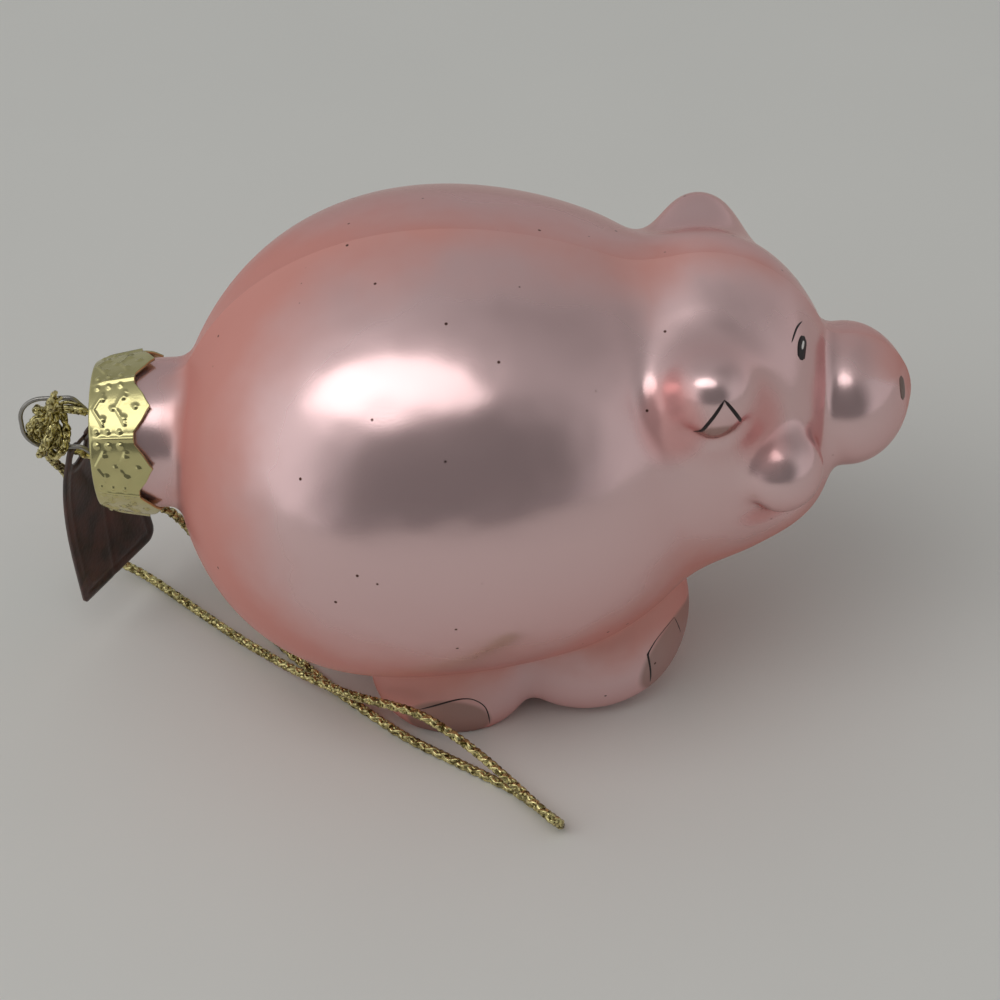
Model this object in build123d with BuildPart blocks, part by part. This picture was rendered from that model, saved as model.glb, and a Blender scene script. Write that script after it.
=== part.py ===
from build123d import *
import math
import os

# A hollow pig of blown glass. It stands on four moulded feet and hangs by the cap on its neck.
# +X points to the snout, +Y to the pig's left and +Z up. The floor is at zero.
# Every length is in millimetres, and angles are in degrees.

# Glass figure: one shell, built from rounded lobes that are hollow inside
glass_wall = 1.0
rump_radius = 24.6          # round a line across the pig
rump_half_width = 27.4
rump_x = -7.3
rump_z = 29.8
rump_to_barrel = 3.6
barrel_radius = 26.0
barrel_half_width = 27.7
barrel_rise = 1.6
rump_to_chest = 11.4
chest_radius = 25.2
chest_half_width = 26.4
chest_rise = 1.6
chest_to_head = 21.9
head_rise = 3.4
head_half_length = 14.2
head_radius = 17.5
head_to_snout = 15.3
snout_drop = 0.3
snout_half_length = 6.8
snout_radius = 7.7
cheek_radius = 7.5
cheek_ahead = 5.8
cheek_drop = 5.3
cheek_out = 4.9
ear_radius = 4.6
ear_half_length = 6.0
ear_out = 13.0
ear_rise = 10.2
ear_ahead = 0.5
ear_splay = 45.0            # from upright
rear_foot_radius = 9.2
rear_foot_half_width = 5.5
rear_foot_ahead = 5.0
rear_foot_out = 11.4
rear_foot_z = 6.9
front_foot_radius = 7.7
front_foot_half_height = 11.5
front_foot_ahead = 12.0
front_foot_out = 5.4
front_foot_z = 10.0
flank_radius = 9.1
flank_half_width = 6.6
flank_ahead = 8.4
flank_out = 9.1
flank_z = 8.0

# Glass neck, open at its mouth
neck_radius = 8.15
neck_mouth_radius = 7.4
neck_rise = 2.5
neck_reach = 7.2            # from the rump's end to the mouth
neck_taper_length = 4.0
neck_root = 6.0             # how far the neck runs into the rump
neck_wall = 0.7             # at the mouth, where the glass is drawn thinnest

# Crown cap of thin pressed metal
cap_wall = 0.3
cap_seat_gap = 0.25         # between the neck's mouth and the cap's end
cap_depth = 5.0             # from the end to the straight part of its edge
cap_end_radius = 8.1
cap_edge_radius = 8.95
cap_panels = 8
cap_panel_turn = 10.1       # where the first pleat lies, from +Y
pleat_rise = 0.25
tooth_length = 1.8
tooth_gap_share = 0.18      # shares of one panel's width or of a tooth's length
tooth_knee_share = 0.32
tooth_tip_share = 0.45
tooth_knee_reach_share = 0.4
cap_edge_round = 0.5

# Sprung wire hanger
wire_diameter = 0.5
wire_hole_clearance = 0.15
wire_hole_offset = 3.0
wire_straight = 4.4
wire_leg_length = 14.0
wire_leg_gap = 0.35         # from a leg's end to the neck's bore
wire_leg_bend = 2.0
wire_out = 0.8              # straight piece outside the cap
ring_flank = 2.4
ring_reach = 8.4
ring_half_width = 3.4
ring_lift = 1.8
ring_round = 2.8
ring_corner = 1.1

# Knot of the cord's two ends, with two short tails
cord_diameter = 1.2
knot_radius = 2.6
knot_half_height = 4.0
knot_rise = 0.7             # above the cap's axis
knot_reach = 5.6            # from the cap's end to the knot's middle
tail_diameter = 0.9
tail_bend = 1.2
tail_routes = [
    [(-44.7, -1.0, 35.2), (-43.6, -1.7, 38.2), (-42.5, -1.7, 40.4)],
    [(-44.2, 1.0, 35.2), (-43.2, 1.5, 38.3), (-40.9, 1.5, 37.4)],
]

# Metallic cord: from the knot along the floor to a tight fold, and back to the knot.
# Each entry is a corner of its route, and share of the shorter run sets each bend.
cord_bend_share = 0.45
cord_route = [
    (-46.4, 0.9, 30.4),
    (-46.6, 3.0, 26.9),
    (-45.3, 6.4, 21.6),
    (-46.4, 9.6, 14.8),
    (-46.6, 12.0, 8.3),
    (-46.2, 13.4, 4.6),
    (-43.4, 14.0, 1.7),
    (-40.0, 12.6, 0.7),
    (-36.2, 9.0, 0.6),
    (-31.8, 4.6, 0.6),
    (-26.9, -0.4, 1.0),
    (-22.3, -5.2, 2.0),
    (-17.9, -9.6, 3.2),
    (-13.8, -13.7, 4.8),
    (-9.8, -16.7, 6.3),
    (-6.2, -18.7, 6.7),
    (-3.0, -20.2, 5.3),
    (0.0, -22.2, 4.0),
    (3.1, -25.4, 3.4),
    (5.8, -28.8, 3.2),
    (8.2, -31.8, 3.0),
    (9.4, -30.7, 0.8),
    (6.9, -28.0, 0.7),
    (4.0, -24.8, 0.6),
    (0.5, -22.3, 0.6),
    (-3.5, -19.5, 0.6),
    (-8.0, -16.3, 0.6),
    (-12.5, -12.0, 0.6),
    (-16.9, -7.6, 0.6),
    (-20.8, -3.1, 0.6),
    (-24.6, 1.8, 0.6),
    (-27.8, 6.8, 0.8),
    (-30.4, 10.3, 2.2),
    (-32.2, 11.5, 5.0),
    (-33.7, 11.5, 8.6),
    (-35.3, 9.2, 13.6),
    (-38.2, 8.0, 15.8),
    (-40.6, 6.4, 18.8),
    (-40.9, 4.3, 25.4),
    (-45.1, 3.2, 28.2),
    (-44.3, 0.2, 32.4),
]

# Leatherette swing tag. Each row is a height, the left edge's x and the sheet's heading.
tag_thickness = 0.4
tag_width = 13.6
tag_left_y = 1.5
tag_rows = [
    (6.4, -45.1, 59.0),
    (14.2, -45.5, 61.5),
    (22.4, -45.2, 64.0),
    (29.0, -43.7, 66.0),
]
tag_hole_radius = 1.5
tag_hole_from_side = 2.4
tag_hole_x = -44.15         # the left edge at the hole's height
tag_hole_height = 27.0
tag_hole_heading = 65.0

over = 1.0                  # how far a cutting tool runs past what it cuts

# Places worked out from the sizes above
barrel_x = rump_x + rump_to_barrel
barrel_z = rump_z + barrel_rise
chest_x = rump_x + rump_to_chest
chest_z = rump_z + chest_rise
head_x = chest_x + chest_to_head
head_z = chest_z + head_rise
snout_x = head_x + head_to_snout
snout_z = head_z - snout_drop
neck_z = rump_z + neck_rise
neck_mouth_x = rump_x - rump_radius - neck_reach
neck_bore_radius = neck_mouth_radius - neck_wall
ALONG = Vector(1, 0, 0)
ACROSS = Vector(0, 1, 0)
UP = Vector(0, 0, 1)


def lobe(centre, axis, radius, half_length, inset=0):
    """Adds one spheroid, as two halves stretched along axis, to the part being built."""
    short_radius = radius - inset
    stretch = (half_length - inset) / short_radius
    ball = Sphere(short_radius, mode=Mode.PRIVATE)
    for keep in (Keep.TOP, Keep.BOTTOM):
        half = split(ball, bisect_by=Plane.XZ, keep=keep, mode=Mode.PRIVATE)
        stretched = scale(half, by=(1, 1, stretch), mode=Mode.PRIVATE)
        add(Plane(origin=centre, z_dir=axis).location * stretched, clean=False)


def trunk(inset):
    """Adds the lobes of body, head and snout."""
    lobe((rump_x, 0, rump_z), ACROSS, rump_radius, rump_half_width, inset)
    lobe((barrel_x, 0, barrel_z), ACROSS, barrel_radius, barrel_half_width, inset)
    lobe((chest_x, 0, chest_z), ACROSS, chest_radius, chest_half_width, inset)
    lobe((head_x, 0, head_z), ALONG, head_radius, head_half_length, inset)
    lobe((snout_x, 0, snout_z), ALONG, snout_radius, snout_half_length, inset)


def side_lobes(inset):
    """Adds the lobes that the pig has on each side: cheeks, ears, feet and flanks."""
    for side in (-1, 1):
        cheek = (head_x + cheek_ahead, side * cheek_out, head_z - cheek_drop)
        lobe(cheek, ALONG, cheek_radius, cheek_radius, inset)
        ear = (head_x + ear_ahead, side * ear_out, head_z + ear_rise)
        splay = math.radians(ear_splay)
        ear_axis = Vector(0, side * math.sin(splay), math.cos(splay))
        lobe(ear, ear_axis, ear_radius, ear_half_length, inset)
        rear_foot = (rump_x + rear_foot_ahead, side * rear_foot_out, rear_foot_z)
        lobe(rear_foot, ACROSS, rear_foot_radius, rear_foot_half_width, inset)
        front_foot = (chest_x + front_foot_ahead, side * front_foot_out, front_foot_z)
        lobe(front_foot, UP, front_foot_radius, front_foot_half_height, inset)
        flank = (chest_x + flank_ahead, side * flank_out, flank_z)
        lobe(flank, ACROSS, flank_radius, flank_half_width, inset)


def above(height):
    """Keeps only what lies above a height, so the feet are flat."""
    split(bisect_by=Plane.XY.offset(height), keep=Keep.TOP)


# The hollow inside the glass, cut out of the figure below
with BuildPart() as hollow:
    trunk(glass_wall)
    side_lobes(glass_wall)
    above(glass_wall)
    with BuildSketch(Plane(origin=(neck_mouth_x - over, 0, neck_z), z_dir=(1, 0, 0))):
        Circle(neck_bore_radius)
    extrude(amount=neck_reach + neck_root + over)

with BuildPart() as glass_body:
    trunk(0)
    side_lobes(0)
    above(0)
    with BuildSketch(Plane.XZ):
        with BuildLine():
            Polyline(
                (neck_mouth_x, neck_z),
                (neck_mouth_x, neck_z + neck_mouth_radius),
                (neck_mouth_x + neck_taper_length, neck_z + neck_radius),
                (neck_mouth_x + neck_reach + neck_root, neck_z + neck_radius),
                (neck_mouth_x + neck_reach + neck_root, neck_z),
                close=True,
            )
        make_face()
    revolve(axis=Axis((0, 0, neck_z), (1, 0, 0)))
    add(hollow.part, mode=Mode.SUBTRACT)
glass_body.part.label = "glass_body"

# The cap's planes and radii
cap_end_x = neck_mouth_x - cap_seat_gap - cap_wall
cap_edge_x = cap_end_x + cap_depth
cap_flare = (cap_edge_radius - cap_end_radius) / cap_depth
panel_angle = 360 / cap_panels
panel_width = 2 * cap_edge_radius * math.sin(math.radians(panel_angle / 2))


def cap_section(x, inset):
    """Draws the cap's eight-sided outline on a plane across it."""
    radius = cap_end_radius + (x - cap_end_x) * cap_flare - inset
    with BuildSketch(Plane(origin=(x, 0, neck_z), x_dir=(0, 1, 0), z_dir=(1, 0, 0))) as outline:
        with BuildLine():
            for panel in range(cap_panels):
                start = cap_panel_turn + panel * panel_angle
                ends = []
                for turn in (start, start + panel_angle):
                    reach = radius + pleat_rise
                    angle = math.radians(turn)
                    ends.append((reach * math.cos(angle), reach * math.sin(angle)))
                angle = math.radians(start + panel_angle / 2)
                middle = (radius * math.cos(angle), radius * math.sin(angle))
                ThreePointArc(ends[0], middle, ends[1])
        make_face()
    return outline.sketch.face()


with BuildPart() as cap_inside:
    near = cap_section(cap_end_x + cap_wall, cap_wall)
    far = cap_section(cap_edge_x + tooth_length + over, cap_wall)
    loft([near, far], ruled=True)

with BuildPart() as crown_cap:
    near = cap_section(cap_end_x, 0)
    far = cap_section(cap_edge_x + tooth_length, 0)
    loft([near, far], ruled=True)
    fillet(crown_cap.edges().group_by(Axis.X)[0], radius=cap_edge_round)
    add(cap_inside.part, mode=Mode.SUBTRACT)
    # Spaces between the teeth, one at each pleat
    for panel in range(cap_panels):
        angle = math.radians(cap_panel_turn + panel * panel_angle)
        outward = (0, math.cos(angle), math.sin(angle))
        plane = Plane(origin=(cap_edge_x, 0, neck_z), x_dir=(1, 0, 0), z_dir=outward)
        with BuildSketch(plane):
            with BuildLine():
                Polyline(
                    (0, -tooth_gap_share * panel_width),
                    (tooth_knee_reach_share * tooth_length, -tooth_knee_share * panel_width),
                    (tooth_length, -tooth_tip_share * panel_width),
                    (tooth_length + over, -tooth_tip_share * panel_width),
                    (tooth_length + over, tooth_tip_share * panel_width),
                    (tooth_length, tooth_tip_share * panel_width),
                    (tooth_knee_reach_share * tooth_length, tooth_knee_share * panel_width),
                    (0, tooth_gap_share * panel_width),
                    close=True,
                )
            make_face()
        extrude(amount=cap_edge_radius + over + over, mode=Mode.SUBTRACT)
    # Two holes for the wire
    with BuildSketch(Plane(origin=(cap_end_x - over, 0, neck_z), x_dir=(0, 1, 0), z_dir=(1, 0, 0))):
        with Locations((0, wire_hole_offset), (0, -wire_hole_offset)):
            Circle(wire_diameter / 2 + wire_hole_clearance)
    extrude(amount=over + cap_wall + over, mode=Mode.SUBTRACT)
crown_cap.part.label = "crown_cap"

# The wire's corners, as distances out from the cap's end and up from its axis
leg_spread = neck_bore_radius - wire_diameter / 2 - wire_leg_gap
ring_top = ring_lift + ring_half_width
ring_bottom = ring_lift - ring_half_width
wire_corners = [
    (-wire_leg_length, leg_spread),
    (-wire_straight, wire_hole_offset),
    (wire_out, wire_hole_offset),
    (ring_flank, ring_top),
    (ring_reach, ring_top),
    (ring_reach, ring_bottom),
    (ring_flank, ring_bottom),
    (wire_out, -wire_hole_offset),
    (-wire_straight, -wire_hole_offset),
    (-wire_leg_length, -leg_spread),
]
wire_radii = [wire_leg_bend, ring_corner, ring_corner, ring_round]
wire_radii = wire_radii + wire_radii[::-1]

with BuildPart() as hanger_wire:
    with BuildLine() as wire_line:
        places = [(cap_end_x - out, 0, neck_z + up) for out, up in wire_corners]
        FilletPolyline(*places, radius=wire_radii)
    with BuildSketch(Plane(origin=wire_line.line @ 0, z_dir=wire_line.line % 0)):
        Circle(wire_diameter / 2)
    sweep(path=wire_line.line)
hanger_wire.part.label = "hanger_wire"

# The cord's bends come from the shorter of the runs beside each corner
cord_corners = [Vector(*place) for place in cord_route]
cord_radii = []
for index in range(1, len(cord_corners) - 1):
    before = cord_corners[index] - cord_corners[index - 1]
    after = cord_corners[index + 1] - cord_corners[index]
    half_turn = math.radians(before.get_angle(after)) / 2
    cord_radii.append(cord_bend_share * min(before.length, after.length) / math.tan(half_turn))

with BuildPart() as cord_loop:
    with BuildLine() as cord_line:
        FilletPolyline(*cord_corners, radius=cord_radii)
    with BuildSketch(Plane(origin=cord_line.line @ 0, z_dir=cord_line.line % 0)):
        Circle(cord_diameter / 2)
    sweep(path=cord_line.line)
cord_loop.part.label = "cord_loop"

knot_x = cap_end_x - knot_reach
knot_z = neck_z + knot_rise

with BuildPart() as cord_knot:
    lobe((knot_x, 0, knot_z), UP, knot_radius, knot_half_height)
    for tail_route in tail_routes:
        with BuildLine() as tail_line:
            FilletPolyline(*tail_route, radius=tail_bend)
        with BuildSketch(Plane(origin=tail_line.line @ 0, z_dir=tail_line.line % 0)):
            Circle(tail_diameter / 2)
        sweep(path=tail_line.line)
    # The wire and the cord fill their own channels in the knot
    add(hanger_wire.part, mode=Mode.SUBTRACT)
    add(cord_loop.part, mode=Mode.SUBTRACT)
cord_knot.part.label = "cord_knot"

with BuildPart() as swing_tag:
    for height, left_x, heading in tag_rows:
        turn = math.radians(heading)
        along = (math.cos(turn), math.sin(turn), 0)
        with BuildSketch(Plane(origin=(left_x, tag_left_y, height), x_dir=along, z_dir=(0, 0, 1))):
            Rectangle(tag_width, tag_thickness, align=(Align.MIN, Align.CENTER))
    loft()
    turn = math.radians(tag_hole_heading)
    along = (math.cos(turn), math.sin(turn), 0)
    facing = (math.sin(turn), -math.cos(turn), 0)
    hole_x = tag_hole_x + tag_hole_from_side * along[0]
    hole_y = tag_left_y + tag_hole_from_side * along[1]
    with BuildSketch(Plane(origin=(hole_x, hole_y, tag_hole_height), x_dir=along, z_dir=facing)):
        Circle(tag_hole_radius)
    extrude(amount=tag_thickness + over, both=True, mode=Mode.SUBTRACT)
swing_tag.part.label = "swing_tag"

cord_length = sum(edge.length for edge in cord_line.edges())
cord_section = math.pi * (cord_diameter / 2) ** 2
print("cord bend radii", [round(radius, 1) for radius in cord_radii])
print("cord length", round(cord_length, 1), "volume", round(cord_loop.part.volume, 1))
print("section times length", round(cord_section * cord_length, 1))
print("glass volume", round(glass_body.part.volume, 1))

os.makedirs("parts", exist_ok=True)
pieces = [glass_body, crown_cap, hanger_wire, cord_knot, cord_loop, swing_tag]
for piece in pieces:
    export_step(piece.part, f"parts/{piece.part.label}.step")
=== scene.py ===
import math
from collections import namedtuple

import bmesh
import bpy
import numpy as np
from bpy.props import FloatProperty, FloatVectorProperty, IntProperty, PointerProperty
from mathutils import Matrix, Vector


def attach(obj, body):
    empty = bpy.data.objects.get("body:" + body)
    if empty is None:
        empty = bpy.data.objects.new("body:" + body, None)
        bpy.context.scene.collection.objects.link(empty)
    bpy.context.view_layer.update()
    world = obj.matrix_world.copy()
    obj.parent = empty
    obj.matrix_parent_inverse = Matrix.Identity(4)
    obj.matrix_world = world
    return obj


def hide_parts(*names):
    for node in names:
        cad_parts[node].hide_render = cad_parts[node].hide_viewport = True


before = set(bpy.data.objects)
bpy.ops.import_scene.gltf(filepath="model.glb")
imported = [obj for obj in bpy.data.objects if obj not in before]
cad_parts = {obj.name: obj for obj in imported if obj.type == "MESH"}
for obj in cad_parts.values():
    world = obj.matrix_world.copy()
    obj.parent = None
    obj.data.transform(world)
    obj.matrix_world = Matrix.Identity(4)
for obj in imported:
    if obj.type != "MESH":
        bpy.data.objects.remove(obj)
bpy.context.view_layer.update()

bl_info = {
    "name": "Hollow glass pig ornament",
    "version": (1, 0, 0),
    "blender": (4, 5, 0),
    "location": "3D View > Sidebar > Ornament",
    "description": "Dresses a blown glass pig with its cap, hanger, cord and tag",
    "category": "Object",
}

MM = 0.001


# ---------------------------------------------------------------- colours and nodes

def colour(code):
    """Turns an sRGB hex colour to the linear one that Blender's sockets hold."""
    parts = [int(code[i:i + 2], 16) / 255 for i in (1, 3, 5)]
    return tuple(c / 12.92 if c <= 0.04045 else ((c + 0.055) / 1.055) ** 2.4 for c in parts)


def shown(sockets, key=0):
    """Picks a socket by its name or number from those that its node shows in the mode it is set to."""
    sockets = [socket for socket in sockets if socket.enabled]
    return sockets[key] if isinstance(key, int) else next(one for one in sockets if one.name == key)


def fill(node, inputs):
    """Fills a node's inputs with plain values, with outputs, or with nodes, whose first output is used."""
    for key, value in inputs.items():
        if isinstance(value, bpy.types.Node):
            value = shown(value.outputs)
        if isinstance(value, bpy.types.NodeSocket):
            node.id_data.links.new(value, shown(node.inputs, key))
        else:
            shown(node.inputs, key).default_value = value
    return node


def add_node(tree, kind, inputs=None, **settings):
    """Adds one shader node, sets its mode and fills its inputs."""
    node = tree.nodes.new("ShaderNode" + kind)
    for name, value in settings.items():
        setattr(node, name, value)
    return fill(node, inputs or {})


def start_material(name, values):
    """Starts a material with its shader's plain values. Gives its tree, shader and Object coordinates too."""
    material = bpy.data.materials.new(name)
    material.use_nodes = True
    tree = material.node_tree
    shader = fill(tree.nodes["Principled BSDF"], values)
    return material, tree, shader, add_node(tree, "TexCoord").outputs["Object"]


def rgba(linear):
    """A linear colour as a colour socket takes it, opaque."""
    return (*linear, 1.0)


def colour_prop(name, description, default):
    """A colour that the user can change."""
    return FloatVectorProperty(
        name=name, description=description, default=default, subtype="COLOR", min=0.0, max=1.0)


def length_prop(name, description, default, least=0.0):
    """A length in metres that the user can change."""
    return FloatProperty(
        name=name, description=description, default=default, min=least, unit="LENGTH", precision=5)


# ---------------------------------------------------------------- meshes and pieces

def add_piece(name, mesh, material, body, replaced=()):
    """Puts a finished mesh in the scene on its body, in place of the CAD nodes it stands for."""
    piece = bpy.data.objects.new(name, mesh)
    bpy.context.scene.collection.objects.link(piece)
    mesh.materials.clear()
    mesh.materials.append(material)
    mesh.shade_smooth()
    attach(piece, body)
    if replaced:
        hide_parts(*replaced)
    return piece


def give_wall(piece, name, thickness, offset):
    """Gives a thin skin its thickness, with closed rims."""
    wall = piece.modifiers.new(name, "SOLIDIFY")
    wall.thickness = thickness
    wall.offset = offset
    wall.use_rim = True


def mesh_of(bm, name):
    """Closes a bmesh into a mesh in metres; the bmesh is worked in millimetres."""
    mesh = bpy.data.meshes.new(name)
    bm.transform(Matrix.Scale(MM, 4))
    bm.to_mesh(mesh)
    bm.free()
    return mesh


def places_of(bm):
    """The places of all vertices, one row each."""
    return np.array([vertex.co for vertex in bm.verts], float)


def move_to(bm, places):
    """Moves every vertex to its row's place."""
    for vertex, place in zip(bm.verts, places):
        vertex.co = place
    bm.normal_update()


def whole(bm):
    """All of a bmesh's geometry, as its cutting tools take it."""
    return bm.verts[:] + bm.edges[:] + bm.faces[:]


def start_curve(name):
    """Starts an empty curve that may run freely in space."""
    curve = bpy.data.curves.new(name, "CURVE")
    curve.dimensions = "3D"
    return curve


def add_spline(curve, kind, places):
    """Adds one line of points to a curve."""
    spline = curve.splines.new(kind)
    spline.points.add(len(places) - 1)
    spline.points.foreach_set("co", np.column_stack([places, np.ones(len(places))]).ravel())
    return spline


def mesh_from(curve):
    """Turns a curve into a mesh of the same name, and clears the curve away."""
    name = curve.name
    holder = bpy.data.objects.new(name, curve)
    mesh = bpy.data.meshes.new_from_object(holder)
    mesh.name = name
    bpy.data.objects.remove(holder)
    bpy.data.curves.remove(curve)
    return mesh


def smooth_line(name, places):
    """Reads the smooth NURBS line that has these places as its control points."""
    curve = start_curve(name)
    curve.resolution_u = 16
    spline = add_spline(curve, "NURBS", places)
    spline.order_u = 3
    spline.use_endpoint_u = True
    line = mesh_from(curve)
    points = np.array([vertex.co for vertex in line.vertices], float)
    bpy.data.meshes.remove(line)
    return points


def evenly(points, spacing):
    """Walks along a line of points in even steps."""
    steps = np.linalg.norm(np.diff(points, axis=0), axis=1)
    reached = np.concatenate([[0.0], np.cumsum(steps)])
    stops = np.linspace(0.0, reached[-1], max(4, round(reached[-1] / spacing) + 1))
    return np.stack([np.interp(stops, reached, points[:, i]) for i in range(3)], axis=1), stops


def side_frames(points):
    """Gives two directions across a line at each point, which turn with it and never twist round it."""
    ahead = np.gradient(points, axis=0)
    ahead /= np.linalg.norm(ahead, axis=1, keepdims=True)
    side = np.cross(ahead[0], (0.0, 0.0, 1.0))
    if np.linalg.norm(side) < 0.1:
        side = np.cross(ahead[0], (0.0, 1.0, 0.0))
    sides = []
    for direction in ahead:
        side = side - direction * side.dot(direction)
        side = side / np.linalg.norm(side)
        sides.append(side)
    sides = np.array(sides)
    return sides, np.cross(ahead, sides)


def beside(points, frames, out, angle):
    """Gives the line that runs this far out from another one, at this angle round it."""
    side, across = frames
    return points + side * (out * np.cos(angle))[:, None] + across * (out * np.sin(angle))[:, None]


def braid_lines(points, reached, pitch, thick):
    """Winds four yarns round a line, two each way, which pass over and under each other in turn."""
    frames = side_frames(points)
    turn = 2 * math.pi * reached / pitch
    radius, lift = thick * BRAID_RADIUS, thick * BRAID_LIFT
    lines = []
    for start in (0, math.pi):
        for way in (1, -1):
            out = radius + way * lift * np.cos(2 * turn)
            lines.append(beside(points, frames, out, start + way * turn))
    return lines


def yarn_mesh(name, lines, thickness):
    """Sweeps round yarns of this thickness along lines of points."""
    curve = start_curve(name)
    curve.bevel_depth = thickness / 2
    curve.bevel_resolution = 1      # few sides are enough for so thin a yarn
    curve.use_fill_caps = True
    for points in lines:
        add_spline(curve, "POLY", points)
    return mesh_from(curve)


# ---------------------------------------------------------------- the blown glass body

# Sizes in millimetres, measured on the photograph at the scale that the cap gives. A lobe is one swelling
# of the glass: its middle, its half sizes, the axis and degrees of its turn, and the fillet that joins it.
Lobe = namedtuple("Lobe", "centre radii axis turn blend")
RUMP = Lobe((-7.5, 0.0, 31.1), (26.0, 27.4, 23.6), "Y", -61.6, 0.0)
TRUNK = (
    Lobe((4.2, 0.0, 31.3), (25.6, 26.2, 24.8), "Y", 0.0, 6.0),      # chest
    Lobe((25.8, 0.0, 34.8), (14.2, 16.6, 18.4), "Y", 0.0, 4.0),     # head
    Lobe((41.1, 0.0, 34.4), (6.8, 8.0, 7.6), "Y", 0.0, 1.8),        # snout
    Lobe((31.6, -4.9, 29.5), (7.5, 7.5, 7.5), "Y", 0.0, 2.0),       # chin
    Lobe((33.0, -12.9, 35.0), (4.8, 4.8, 4.8), "Y", 0.0, 1.5),      # cheek
    Lobe((26.2, -12.9, 44.9), (4.9, 4.8, 6.2), "X", 45.0, 4.0),     # ear
)
REAR_FOOT = Lobe((-2.5, -11.4, 6.9), (9.1, 5.5, 9.4), "Y", 0.0, 0.0)
FEET = (
    Lobe((12.3, -9.1, 8.0), (9.7, 6.6, 8.6), "Y", 0.0, 2.0),        # flank between the feet
    Lobe((15.9, -5.4, 10.0), (8.1, 7.2, 11.5), "Y", 0.0, 2.0),      # front foot
)
FEET_BLEND = 1.0
NECK_AXIS_Z = 32.3
NECK_RADIUS = 8.15
NECK_BLEND = 1.5
MOUTH_X = -39.1
MOUTH_RADIUS = 7.4
MOUTH_TAPER = 4.0
# Creases pressed into the skin: their lines, how deep and how wide.
CREASES = (
    # smile
    (((31.0, -15.6, 32.8), (32.0, -15.0, 31.2), (33.4, -13.9, 29.7), (35.0, -12.3, 29.2)), 0.42, 1.15),
    # fold under the ear
    (((23.8, -17.2, 43.6), (25.4, -17.0, 42.3), (26.6, -17.0, 42.1), (27.8, -17.0, 42.8),
      (29.0, -16.7, 44.0)), 0.45, 0.95),
)
# How the skin is made from the lobes.
BALL_CUTS = 5                   # how finely each lobe's ball is cut
CONE_LENGTH = 24.0              # the neck's cone reaches deep into the rump
CONE_MIDDLE_X = MOUTH_X + 10.5
SETTLINGS = (2, 2, 2, 2, 3)     # after each smoothing the skin settles this many times
SEAM_REACH = 0.25               # points this near to the mould's seam stay in its plane
MOUTH_REACH = 0.11              # and these stay in the plane of the neck's mouth
ON_SEAM = 1e-4
# How points settle on the skin.
PROBE = 0.02                    # the slope is read this far to both sides
LEAST_SLOPE = 0.2               # keeps a point in a corner from flying off
LONGEST_MOVE = 0.8


def lobe_matrix(lobe, side=1):
    """The lobe's turn; on the far side a turn about X is mirrored."""
    return Matrix.Rotation(math.radians(lobe.turn * (side if lobe.axis == "X" else 1)), 4, lobe.axis)


def lobe_gap(points, lobe):
    """How far each point lies outside one egg-shaped lobe, negative inside."""
    local = (points - lobe.centre) @ np.array(lobe_matrix(lobe).to_3x3())
    near = np.linalg.norm(local / lobe.radii, axis=1)
    slope = np.linalg.norm(local / np.square(lobe.radii), axis=1)
    return near * (near - 1) / np.maximum(slope, 1e-9)


def soft_union(first, second, reach):
    """Joins two lobes with a fillet, as hot glass flows into the mould's corner."""
    near = np.maximum(reach - np.abs(first - second), 0) / reach
    return np.minimum(first, second) - near * near * reach / 4


def line_gap(points, places):
    """How far each point lies from a chain of straight pieces."""
    gap = np.full(len(points), 1e9)
    for start, end in zip(places[:-1], places[1:]):
        start, run = np.array(start), np.subtract(end, start)
        share = np.clip((points - start) @ run / run.dot(run), 0, 1)
        gap = np.minimum(gap, np.linalg.norm(points - start - share[:, None] * run, axis=1))
    return gap


def skin_gap(points, sizes):
    """How far each point lies outside the pig's skin. Both halves come from one half of the mould."""
    half = points * (1, 0, 1) - np.abs(points) * (0, 1, 0)
    gap = lobe_gap(half, RUMP)
    for lobe in TRUNK:
        gap = soft_union(gap, lobe_gap(half, lobe), lobe.blend)
    feet = lobe_gap(half, REAR_FOOT)
    for lobe in FEET:
        feet = soft_union(feet, lobe_gap(half, lobe), lobe.blend)
    feet = np.maximum(feet, -half[:, 2])
    gap = soft_union(gap, feet, FEET_BLEND)
    # The mould's two halves meet in a low ridge along the back, the sharp line of the spine.
    gap = gap - sizes.ridge_height * np.exp(-np.abs(half[:, 1]) / sizes.ridge_width)
    for line, depth, width in CREASES:
        gap = gap + depth * np.exp(-np.square(line_gap(half, line) / width))
    bore = np.hypot(half[:, 1], half[:, 2] - NECK_AXIS_Z)
    taper = np.clip((MOUTH_X + MOUTH_TAPER - half[:, 0]) / MOUTH_TAPER, 0, 1.5)
    neck = np.maximum(bore - NECK_RADIUS + taper * (NECK_RADIUS - MOUTH_RADIUS), half[:, 0] - RUMP.centre[0])
    return np.maximum(soft_union(gap, neck, NECK_BLEND), -half[:, 2])


def settle(points, sizes, rounds, proud=0.0, held=1.0):
    """Moves points onto the skin along its slope; held is 0 in the axes in which a point may not move."""
    for _ in range(rounds):
        gap = skin_gap(points, sizes) - proud
        slope = np.empty_like(points)
        for i, step in enumerate(np.eye(3) * PROBE):
            slope[:, i] = (skin_gap(points + step, sizes) - skin_gap(points - step, sizes)) / (2 * PROBE)
        slope *= held
        slope /= np.maximum(np.square(slope).sum(axis=1, keepdims=True), LEAST_SLOPE)
        points = points - np.clip(gap[:, None] * slope, -LONGEST_MOVE, LONGEST_MOVE)
    return points


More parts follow.
